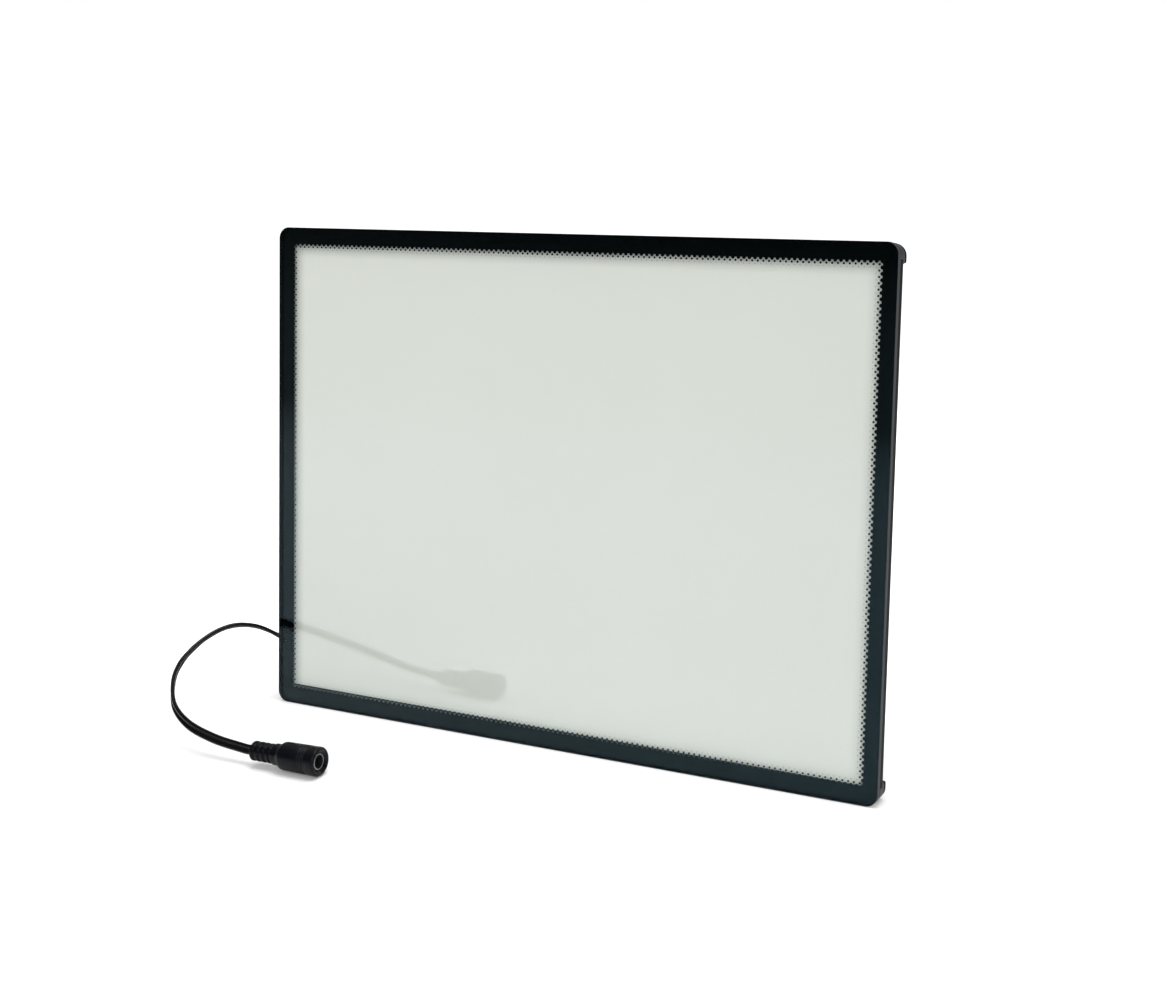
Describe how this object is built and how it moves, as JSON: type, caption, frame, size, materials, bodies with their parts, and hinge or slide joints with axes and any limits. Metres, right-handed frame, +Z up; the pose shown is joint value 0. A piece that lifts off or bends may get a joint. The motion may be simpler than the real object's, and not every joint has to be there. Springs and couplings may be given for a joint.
{
  "type": "advertising light box",
  "caption": "Slim landscape light box with a clear black-bordered cover, leaning back on a folding rear leg, with a flat lead that ends in a round power socket.",
  "frame": {"origin": "middle of the footprint on the desk, under the panel and its leg", "axes": "+Z up, +X along the panel's width to the viewer's right, -Y towards the viewer"},
  "size_m": [0.3308, 0.1163, 0.2275],
  "materials": {
    "clear_plate": "clear float glass, polished edges",
    "black_print": "opaque black ink seen through the plate",
    "plated_steel": "nickel plated",
    "black_plastic": "moulded, fine satin",
    "black_rubber": "matt",
    "white_diffuser": "matt opal film",
    "clear_guide": "clear acrylic with a dotted back",
    "white_reflector": "white film",
    "white_board": "white solder resist",
    "red_wire": "insulated wire",
    "black_sheet": "fine grained",
    "black_steel": "powder coated",
    "black_cord": "flexible moulded, semi gloss",
    "contact_brass": "bright"
  },
  "bodies": {
    "panel_body": {"magnet_top_right": "plated_steel", "magnet_top_left": "plated_steel", "magnet_bottom_left": "plated_steel", "magnet_bottom_right": "plated_steel", "corner_block_top_right": "black_plastic", "corner_block_top_left": "black_plastic", "corner_block_bottom_left": "black_plastic", "corner_block_bottom_right": "black_plastic", "corner_pad_top_right": "black_rubber", "corner_pad_top_left": "black_rubber", "corner_pad_bottom_left": "black_rubber", "corner_pad_bottom_right": "black_rubber", "frame_rail_right": "black_plastic", "frame_rail_left": "black_plastic", "frame_rail_top": "black_plastic", "frame_rail_bottom": "black_plastic", "diffuser_sheet": "white_diffuser", "light_guide": "clear_guide", "reflector_sheet": "white_reflector", "led_strip_top": "white_board", "led_strip_bottom": "white_board", "link_wire": "red_wire", "back_sheet": "black_sheet", "stand_bracket": "black_steel", "stand_pin": "plated_steel", "lead_housing": "black_plastic", "lead_grommet": "black_rubber", "power_lead": "black_cord", "jack_body": "black_cord", "jack_sleeve": "plated_steel", "jack_insulator": "black_cord", "jack_contact": "contact_brass"},
    "front_cover": {"cover_plate": "clear_plate", "border_print": "black_print", "cover_keeper_top_right": "plated_steel", "cover_keeper_top_left": "plated_steel", "cover_keeper_bottom_left": "plated_steel", "cover_keeper_bottom_right": "plated_steel"},
    "stand": {"stand_leg": "black_steel", "stand_foot": "black_rubber"}
  },
  "joints": [
    {"name": "cover_lift", "type": "slide", "parent": "panel_body", "child": "front_cover", "axis": [0, -0.9969, 0.0785], "range_m": [0, 0.03]},
    {"name": "stand_fold", "type": "hinge", "parent": "panel_body", "child": "stand", "pos_m": [0, 0.00107, 0.14907], "axis": [-1, 0, 0], "range_deg": [0, 10.8]}
  ]
}
